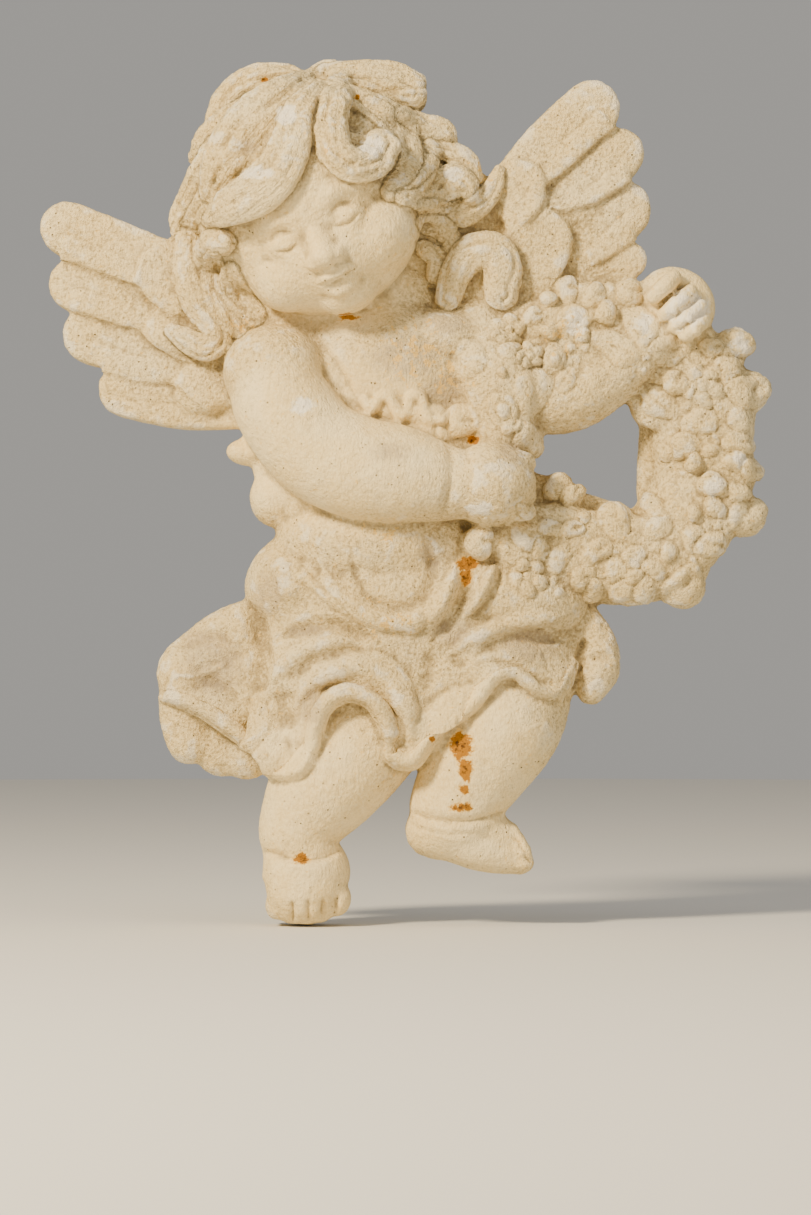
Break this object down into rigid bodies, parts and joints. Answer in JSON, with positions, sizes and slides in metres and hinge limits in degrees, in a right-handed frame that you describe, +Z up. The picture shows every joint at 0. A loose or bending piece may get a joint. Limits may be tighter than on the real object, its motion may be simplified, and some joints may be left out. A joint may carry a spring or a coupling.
{
  "type": "winged child wall relief",
  "caption": "Cast high-relief winged child in a draped skirt, holding a ring of flowers with an open middle, with a flat back that lies on a wall.",
  "frame": {"origin": "on the flat back face, behind the chest and above the centre of mass, where the wall holds it", "axes": "+Z up along the standing figure, +X to the viewer's right, towards the wreath, and +Y out of the flat back into the wall; the figure faces -Y"},
  "size_m": [0.4708, 0.1147, 0.5589],
  "materials": {
    "painted_plaster": "matte, weathered cream paint"
  },
  "bodies": {
    "root": {"angel": "painted_plaster"}
  },
  "joints": []
}
